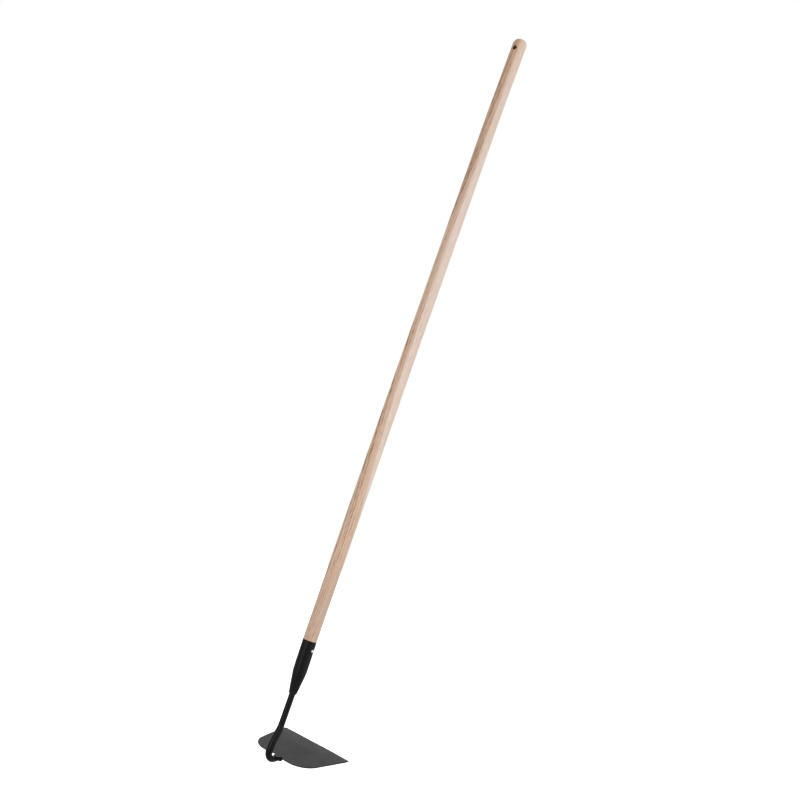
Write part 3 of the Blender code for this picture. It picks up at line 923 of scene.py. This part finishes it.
def neck_patches():
    """The bar from its end in the socket to the end of its foot, with a step cut at the seat."""
    back = -(bar_places - EDGE_MIDDLE) @ AHEAD
    on_foot = (bar_turns > bar_turns[-1] - 1e-6) & (back < SEAT_START)
    first = int(np.argmax(on_foot))
    step_at = bar_places[first] - (SEAT_START - back[first]) * AHEAD
    top = bar_end(bar_places[0], bar_turns[0], -1.0)[::-1]
    end = bar_end(bar_places[-1], bar_turns[-1], 1.0)
    inner = slice(2, first)
    outer = slice(first, len(bar_places) - 2)
    rings = [top, bar_rings(bar_places[inner], bar_turns[inner], BAR_RADIUS)]
    whole = bar_rings(step_at[None], bar_turns[-1:], BAR_RADIUS)
    rings += [whole, whole, bar_rings(bar_places[outer], bar_turns[outer], BAR_RADIUS), end]
    counts = [len(ring) for ring in rings]
    cut = np.concatenate([np.full(count, share) for count, share in zip(counts, (0, 0, 0, 1, 1, 1))])
    return [patch(seated(np.concatenate(rings), cut), edge_mm=5.0, dusty=1.0)]


make_piece("neck", neck_patches(), paint_on["bar"], crease=50.0)

# %% [markdown]
# ## The blade
# The sheet is D-shaped: a straight cutting edge, two broad round shoulders and a nearly straight
# back. In the middle of the back a small tongue lies on the foot, with a relief on each side of
# it. The outline is a list of corners with a radius each, as on a drawing for a press. Copies of
# the outline, drawn in toward the middle, make both faces, and the rim between them is rounded
# as the press left it. The underside is ground thin along the cutting edge, which an extruded
# outline couldn't be.

# %% The blade's outline
CUTTING_EDGE = ((-89.2, -1.9, 0.5), (-38.0, -2.8, 400.0), (12.0, -1.0, 400.0), (50.0, -0.5, 400.0),
                (88.5, 0.9, 8.0))           # u, v and corner radius, mm
SHOULDERS = ((69.75, 112.3, 41.0), (-69.9, 113.1, 43.0))
TONGUE = ((18.5, 112.5, 4.0), (12.6, 108.6, 3.5), (7.5, 107.9, 3.0), (4.4, 112.9, 3.0),
          (3.6, 116.9, 2.2), (-6.2, 117.5, 2.5), (-8.6, 113.9, 3.0), (-11.4, 109.0, 2.6),
          (-14.3, 108.9, 3.0), (-18.3, 112.7, 4.0))
BLADE_CORNERS = CUTTING_EDGE[-1:] + SHOULDERS[:1] + TONGUE + SHOULDERS[1:] + CUTTING_EDGE[:-1]


def corner_arc(before, corner, after, radius):
    """The arc that touches both lines of a corner: its middle lies on the line that halves it."""
    back = (before - corner) / np.linalg.norm(before - corner)
    ahead = (after - corner) / np.linalg.norm(after - corner)
    half = math.acos(np.clip(back @ ahead, -1, 1)) / 2
    middle = corner + (back + ahead) / np.linalg.norm(back + ahead) * radius / math.sin(half)
    first = corner + back * radius / math.tan(half) - middle
    last = corner + ahead * radius / math.tan(half) - middle
    sweep = math.atan2(first[0] * last[1] - first[1] * last[0], first @ last)
    turn = np.linspace(0.0, sweep, 2 + int(abs(math.degrees(sweep)) / 5))
    spun = np.stack((first[0] * np.cos(turn) - first[1] * np.sin(turn),
                     first[0] * np.sin(turn) + first[1] * np.cos(turn)), axis=-1)
    return middle + spun


def blade_outline(spacing=1.6 * MM):
    """Corner arcs joined by straight runs, with extra points along the runs."""
    corners = [(np.array((u, v)) * MM, radius * MM) for u, v, radius in BLADE_CORNERS]
    arcs = [corner_arc(corners[i - 1][0], corner, corners[(i + 1) % len(corners)][0], radius)
            for i, (corner, radius) in enumerate(corners)]
    knots = np.concatenate(arcs + [arcs[0][:1]])
    length = np.concatenate(([0.0], np.cumsum(np.linalg.norm(np.diff(knots, axis=0), axis=1))))
    keep = np.concatenate(([True], np.diff(length) > 1e-7))
    knots, length = knots[keep], length[keep]
    even = np.arange(0.0, length[-1], spacing)
    gap = np.abs(even[:, None] - length[None]).min(1)
    at = np.sort(np.concatenate((length[:-1], even[gap > 0.35 * spacing])))
    return np.stack([np.interp(at, length, knots[:, k]) for k in (0, 1)], axis=-1)


outline = blade_outline()
print("outline:", len(outline), "points,", np.round(np.ptp(outline, axis=0) / MM, 1), "mm")

# %% The blade's faces and rim
BEVEL = 8.0 * MM
EDGE_THICK = 0.5 * MM
SHEET_ROUND = 0.35 * MM
SHEET_WAVE = 0.05 * MM
BLADE_CENTRE = np.array((0.0, 56.0)) * MM


def inward(points):
    """Unit directions into the sheet, square to the outline."""
    along = np.roll(points, -1, axis=0) - np.roll(points, 1, axis=0)
    square = np.stack((-along[:, 1], along[:, 0]), axis=-1)
    square /= np.linalg.norm(square, axis=1)[:, None]
    area = np.sum(points[:, 0] * np.roll(points[:, 1], -1) - points[:, 1] * np.roll(points[:, 0], -1))
    return square * np.sign(area)


def sheet_wave(u, v):
    """Rolled sheet is never quite flat: long shallow waves of about a tenth of a millimetre."""
    wave = np.sin(34 * u + 21 * v) + 0.8 * np.sin(55 * v - 18 * u + 2) + 0.5 * np.sin(810 * u * v + 1)
    return SHEET_WAVE * wave * ease(np.hypot(u, v - 0.1) / 0.06)


def from_cut(u, v):
    """How far back a place lies from the cutting edge, which bows forward a little."""
    edge_u, edge_v, _ = np.transpose(CUTTING_EDGE)
    return np.maximum(v - np.interp(u / MM, edge_u, edge_v) * MM, 0.0)


def dust_and_sheen_spread(u, v):
    """Painted sheen and dust on the upper face: most at the cutting edge, least 60 mm back, more at the
    very back.
    """
    back = from_cut(u, v)
    share = 1.0 - 0.45 * ease(back / (60 * MM)) + 0.2 * ease((v - 98 * MM) / (12 * MM))
    return share + 0.2 * (1 - ease(back / (22 * MM)))


def thickness(u, v):
    """The sheet's own thickness, less what is ground away under the cutting edge."""
    return np.minimum(SHEET, EDGE_THICK + (SHEET - EDGE_THICK) * from_cut(u, v) / BEVEL)


def blade_patches():
    """Rings from the middle of the upper face, round the rim, to the middle of the lower face."""
    thick = thickness(outline[:, 0], outline[:, 1])
    soft = np.minimum(SHEET_ROUND, 0.42 * thick)[None]
    bend = np.radians(np.linspace(0, 90, 6))[:, None]
    inset = np.concatenate((soft * (1 - np.sin(bend)), soft * (1 - np.cos(bend))))
    level = np.concatenate((-soft * (1 - np.cos(bend)), -thick + soft * (1 - np.sin(bend))))
    rim = outline + inset[..., None] * inward(outline)
    inner = outline + soft[0][:, None] * inward(outline)
    share = np.concatenate(([0.0], np.linspace(0.05, 0.93, 24), (0.955, 0.975, 0.99, 0.996)))
    face = BLADE_CENTRE + share[:, None, None] * (inner - BLADE_CENTRE)
    flat = np.concatenate((face, rim, face[::-1]))
    u, v = flat[..., 0], flat[..., 1]
    t = np.concatenate((0 * face[..., 0], level, -thickness(*np.moveaxis(face, -1, 0))[::-1]))
    upper = np.concatenate((np.ones(len(face)), np.zeros(len(rim) + len(face))))[:, None]
    # only the upper face takes the pale mix: mostly painted sheen, with some dust
    dusty = upper * dust_and_sheen_spread(u, v)
    return [patch(on_blade(u, v, t + sheet_wave(u, v)), edge_mm=from_cut(u, v) / MM, dusty=dusty)]


make_piece("blade", blade_patches(), paint_on["sheet"], crease=30.0)

# %% [markdown]
# ## The fixing screw
# One bright screw goes through the socket's wall into the tenon. Its head is a low dome with a
# crossed recess for the driver, and its underside sits on the curved tube. The head is a height
# over a disc: the dome, less the recess, which is deepest where its two slots cross. A Boolean
# would cut the slots with sharp rims, and here they are pressed and soft.

# %% The screw
HEAD_RADIUS = 3.5 * MM
HEAD_HEIGHT = 2.2 * MM
SHANK_RADIUS = 2.0 * MM
SCREW_LENGTH = 12.0 * MM
SCREW_POINT = 3.0 * MM
SEAT_OUT = 14.3 * MM              # from the socket's middle to the head's seat
TUBE_OUT = 13.97 * MM
SLOT_HALF = 0.42 * MM             # half a slot's width at the middle
SLOT_REACH = 1.75 * MM
SLOT_DEPTH = 1.15 * MM
BOWL_RADIUS = 0.95 * MM           # the deeper middle of the recess
BOWL_DEPTH = 0.5 * MM


def recess(x, y):
    """Two crossed slots that narrow and fade as they leave the middle."""
    x, y = np.abs(x), np.abs(y)
    far, near = np.maximum(x, y), np.minimum(x, y)
    width = SLOT_HALF - 0.10 * far
    slot = ease((width - near) / (0.18 * MM) + 0.5) * ease((SLOT_REACH - far) / (0.30 * MM))
    bowl = ease(1 - np.hypot(x, y) / BOWL_RADIUS)
    return SLOT_DEPTH * slot * (1 - 0.35 * far / SLOT_REACH) + BOWL_DEPTH * bowl * slot


def on_tube(turn, radius):
    """How far out the tube's round side lies, at a radius from the screw's line."""
    return np.sqrt(TUBE_OUT ** 2 - (radius * np.cos(turn)) ** 2)


def screw_patches():
    """Dome with its recess, brim, underside on the tube, shank and point."""
    turn = np.linspace(0.0, 2 * math.pi, 120, endpoint=False)
    radius = HEAD_RADIUS * np.linspace(0, 1, 46)[:, None]
    lift = HEAD_HEIGHT * np.sqrt(np.clip(1 - (radius / HEAD_RADIUS) ** 2, 0, 1)) ** 0.95
    spin = turn + math.radians(24)
    dip = recess(radius * np.cos(spin), radius * np.sin(spin))
    head = screw_line(turn, radius, SEAT_OUT + lift - dip)
    brim = screw_line(turn, HEAD_RADIUS, np.stack((SEAT_OUT + 0 * turn, on_tube(turn, HEAD_RADIUS))))
    inner = np.linspace(HEAD_RADIUS, SHANK_RADIUS, 6)[:, None]
    under = screw_line(turn, inner, on_tube(turn, inner))

    top = on_tube(turn, SHANK_RADIUS)
    tip = SEAT_OUT - SCREW_LENGTH
    out = np.linspace(0, 1, 12)[:, None] * (tip + SCREW_POINT - top) + top
    shank = screw_line(turn, SHANK_RADIUS, out)
    share = 1 - np.linspace(0, 1, 7)[:, None]
    point = screw_line(turn, SHANK_RADIUS * share ** 0.9, tip + SCREW_POINT * share)
    return [patch(head, from_axis=radius / MM), patch(brim, from_axis=3.5), patch(under, from_axis=2.8),
            patch(shank, from_axis=2.0), patch(point, from_axis=1.0)]


make_piece("fixing_screw", screw_patches(), bright_steel, crease=45.0)

# %% [markdown]
# ## The welds
# Three runs of weld hold the steel together: a ring round the socket's mouth and a fillet along
# each side of the foot. A weld is laid as a row of overlapping drops, so its face carries close
# curved ripples, swells and thins. Each run is its cross-section carried along its line, with
# the ripples added as a wave. A bump in the finish would be cheaper, but it is lost at the
# outline, where real drops stand out. The welds sink a little into what they join.

# %% The ring under the socket
SUNK = 0.1                        # how far a weld sinks into the bar and the sheet, mm
RING_DEPTHS = (103.8, 104.3, 104.8, 105.7, 106.6, 107.3)
RING_CENTRES = (3.74, 3.77, 3.79, 3.78, 3.68, 3.56)
RING_RADII = (7.6, 7.9, 8.1, 7.8, 7.1, 6.5)
RING_RIPPLE = 0.14


def ring_weld_patches():
    """A closed section, bulging outside and on the bar inside, carried round the bar."""
    turn = np.linspace(0.0, 2 * math.pi, 144, endpoint=False)
    depth = np.linspace(RING_DEPTHS[0], RING_DEPTHS[-1], 16)[:, None]
    radius = flowing(RING_DEPTHS, RING_RADII, depth)
    share = (depth - RING_DEPTHS[0]) / (RING_DEPTHS[-1] - RING_DEPTHS[0])
    swell = np.sin(math.pi * share)
    ripple = np.sin(34 * turn + 2.2 * swell) + 0.8 * np.sin(3 * turn + 1) + 0.5 * np.sin(7 * turn)
    centre = flowing(RING_DEPTHS, RING_CENTRES, depth)
    outer = around(turn, radius + RING_RIPPLE * swell * ripple, -depth, centre)
    inner = around(turn, BAR_RADIUS / MM - SUNK, -depth[::-1][::5], BAR_X / MM)
    loop = np.concatenate((outer, inner, outer[:1])) * MM + np.array((0.0, 0.0, RIM_Z))
    return [patch(loop, edge_mm=5.0, dusty=1.0)]


make_piece("socket_weld", ring_weld_patches(), paint_on["weld"])

# %% The fillets beside the foot
DROP = 1.35                       # from one drop of weld to the next, mm
DROP_HEIGHT = 0.16
LEFT_FILLET = ((90.0, 6.6, 3.6), (91.5, 8.6, 5.4), (95.0, 9.8, 6.8), (99.0, 10.2, 7.2),
               (102.0, 9.8, 6.9), (104.5, 8.4, 5.8), (106.0, 6.8, 4.2))
RIGHT_FILLET = ((90.0, 6.6, 3.6), (91.5, 8.8, 5.6), (95.0, 10.2, 7.2), (100.0, 11.2, 8.4),
                (105.0, 12.6, 9.2), (108.5, 14.6, 9.4), (111.5, 15.4, 9.0), (113.5, 13.6, 7.6),
                (114.8, 9.6, 5.6), (115.5, 7.0, 4.0))   # v, width on the blade, depth on the bar, mm


def fillet_patches(stations, side):
    """A section with a swollen face, carried along the foot and drawn to a point at both ends."""
    v, width, depth = (np.array(column) for column in zip(*stations))
    along = np.linspace(v[0], v[-1], 8 * int(v[-1] - v[0]))[:, None]
    toe = flowing(v, width, along)
    root = flowing(v, depth, along)
    clear = BAR_RADIUS / MM - SUNK
    plane = -SHEET / MM + SUNK
    start = math.asin((plane + BAR_RADIUS / MM) / clear)
    finish = np.arcsin((BAR_RADIUS / MM - root) / clear)
    climb = np.linspace(0, 1, 8)[None]
    angle = start + (finish - start) * climb
    bar_u, bar_t = clear * np.cos(angle), -BAR_RADIUS / MM + clear * np.sin(angle)

    face = np.radians(np.linspace(0, 90, 22))[None, 1:]
    root_u, root_t = bar_u[:, -1:], bar_t[:, -1:]
    bulge = np.sin(2 * face)
    drops = DROP_HEIGHT * np.sin(along * 2 * math.pi / DROP + 2.4 * bulge)
    ripple = drops + 0.12 * np.sin(along * 1.1 + side)
    swell = ripple * bulge
    face_u = root_u + (toe - root_u) * np.sin(face) ** 0.9 + swell * np.sin(face)
    face_t = plane + (root_t - plane) * np.cos(face) ** 0.9 - swell * np.cos(face)
    u = np.concatenate((bar_u, face_u), axis=1)
    t = np.concatenate((bar_t, face_t), axis=1)

    corner_u, corner_t = bar_u[:, :1] - 0.3, plane + 0 * root
    past = np.linspace(-1, 1, len(along))[:, None]
    taper = np.sqrt(np.clip(1 - np.abs(past) ** 14, 0, 1))
    u = corner_u + taper * (u - corner_u)
    t = corner_t + taper * (t - corner_t)
    return [patch(on_blade(side * u * MM, along * MM, t * MM), edge_mm=5.0, dusty=1.0)]


for name, stations, side in (("left", LEFT_FILLET, 1.0), ("right", RIGHT_FILLET, -1.0)):
    make_piece("blade_weld_" + name, fillet_patches(stations, side), paint_on["weld"])

# %% [markdown]
# ## Floor and background
# The photo is a plain studio shot on white. The floor lies well below the blade, because the hoe
# is held up by its pole, and its soft shadow falls outside the picture. What the camera sees
# directly is white: the world answers white to camera, mirror and glass rays, and lights the
# hoe at a lower, plain level with all others. Stronger lamps could whiten the picture too, but
# they would bleach the wood.

# %% The pale floor and the white surroundings
FLOOR_Z = cad_box[0].z - 0.45
FLOOR_HALF = 9.0


def make_floor():
    """A flat square grid under the hoe."""
    line = np.linspace(-FLOOR_HALF, FLOOR_HALF, 13)
    x, y = np.meshgrid(line, line)
    points = np.stack((x, y, np.full_like(x, FLOOR_Z)), axis=-1)
    mesh = bpy.data.meshes.new("floor")
    mesh.from_pydata(points.reshape(-1, 3), [], grid_quads(13, 13, round_trip=False))
    finish, tree, shader, place = new_finish("pale_floor")
    mottle = stretch(tree, noise(tree, place, 3.0), 0.3, 0.7, 0.80, 0.84)
    tree.links.new(grey(tree, mottle), shader.inputs["Base Color"])
    shader.inputs["Roughness"].default_value = 0.9
    shader.inputs["Emission Color"].default_value = (1.0, 1.0, 1.0, 1.0)
    glow = stretch(tree, flat_length(tree, place), 0.8, 2.4, 0.40, 1.0)
    seen = put(tree, "LightPath").outputs["Is Camera Ray"]
    tree.links.new(times(tree, seen, glow), shader.inputs["Emission Strength"])
    mesh.materials.append(finish)
    floor = set_up("floor", mesh)


def white_world(level):
    """White to camera, mirror and glass rays; a plain grey light to the rest."""
    world = bpy.data.worlds.new("studio")
    world.use_nodes = True
    tree = world.node_tree
    light = tree.nodes["Background"]
    light.inputs["Color"].default_value = (1.0, 1.0, 1.0, 1.0)
    light.inputs["Strength"].default_value = level
    white = put(tree, "Background", {"Color": (1.0, 1.0, 1.0, 1.0), "Strength": 1.0})
    path = put(tree, "LightPath").outputs
    seen = sums(tree, "MAXIMUM", path["Is Camera Ray"], path["Is Glossy Ray"])
    seen = sums(tree, "MAXIMUM", seen, path["Is Transmission Ray"])
    mix = put(tree, "MixShader", {0: seen, 1: light.outputs[0], 2: white.outputs[0]})
    tree.links.new(mix.outputs[0], tree.nodes["World Output"].inputs["Surface"])
    bpy.context.scene.world = world


make_floor()
white_world(0.745)
print("floor at", round(FLOOR_Z, 3))

# %% [markdown]
# ## Light
# The photo has one big soft light from the right and behind the camera's shoulder. It reaches
# high over the pole, which makes the wood a little brighter toward the top. A narrow box on the
# left draws the thin line down the tube and the bar, and a low one on the right shows the far
# side of the heel. Both are small, so they hardly change the wood, and without them the black
# steel would have no edges.

# %% Soft boxes
def soft_box(name, azimuth, level, distance, width, height, glow):
    """An upright area lamp round the pole; azimuth is from +X toward +Y, glow is its brightness."""
    lamp = bpy.data.lights.new(name, "AREA")
    lamp.shape = "RECTANGLE"
    lamp.size = width
    lamp.size_y = height
    lamp.energy = glow * math.pi * width * height
    turn = math.radians(azimuth)
    way = Vector((math.cos(turn), math.sin(turn), 0.0))
    box = set_up(name, lamp)
    box.location = way * distance + Vector((0.0, 0.0, level))
    box.rotation_euler = way.to_track_quat("Z", "Y").to_euler()
    print(f"{name}: {width} by {height} m, {lamp.energy:.1f} W")


soft_box("key_right", -90.0, level=0.60, distance=2.8, width=2.0, height=4.9, glow=1.34)
soft_box("strip_left", 178.0, level=-1.33, distance=1.6, width=0.54, height=0.88, glow=5.6)
soft_box("low_right", -50.0, level=-1.62, distance=1.6, width=1.1, height=0.38, glow=1.7)

# %% [markdown]
# ## Camera
# The camera's place, direction and roll come from fitting the photo: a round pole, a flat blade
# and a bar of known shape leave only one place that shows them all as the photo does. The roll
# makes the upright hoe lean across the picture, so the hoe itself can stay upright in its frame.

# %% The camera at the photo's place
CAMERA_PLACE = Vector((-1.80354, -1.41907, -0.92456))
CAMERA_HEADING = 37.9458          # degrees from +X toward +Y
CAMERA_CLIMB = 4.5221
CAMERA_ROLL = 19.3827
CAMERA_LENS = 52.873              # mm, before a sensor 36 mm wide


def make_camera():
    """Look along a heading and a climb, then roll about that line."""
    turn, climb, roll = (math.radians(a) for a in (CAMERA_HEADING, CAMERA_CLIMB, CAMERA_ROLL))
    ahead = Vector((math.cos(turn) * math.cos(climb), math.sin(turn) * math.cos(climb), math.sin(climb)))
    level = Vector((math.sin(turn), -math.cos(turn), 0.0))
    upright = level.cross(ahead)
    right = math.cos(roll) * level + math.sin(roll) * upright
    up = right.cross(ahead)
    lens = bpy.data.cameras.new("photo_camera")
    lens.sensor_width = 36.0
    lens.lens = CAMERA_LENS
    camera = set_up("photo_camera", lens)
    camera.rotation_euler = Matrix((right, up, -ahead)).transposed().to_euler()
    camera.location = CAMERA_PLACE
    bpy.context.scene.camera = camera


make_camera()
bpy.context.scene.view_settings.view_transform = "Standard"
print("camera at", CAMERA_PLACE, "with a", CAMERA_LENS, "mm lens")
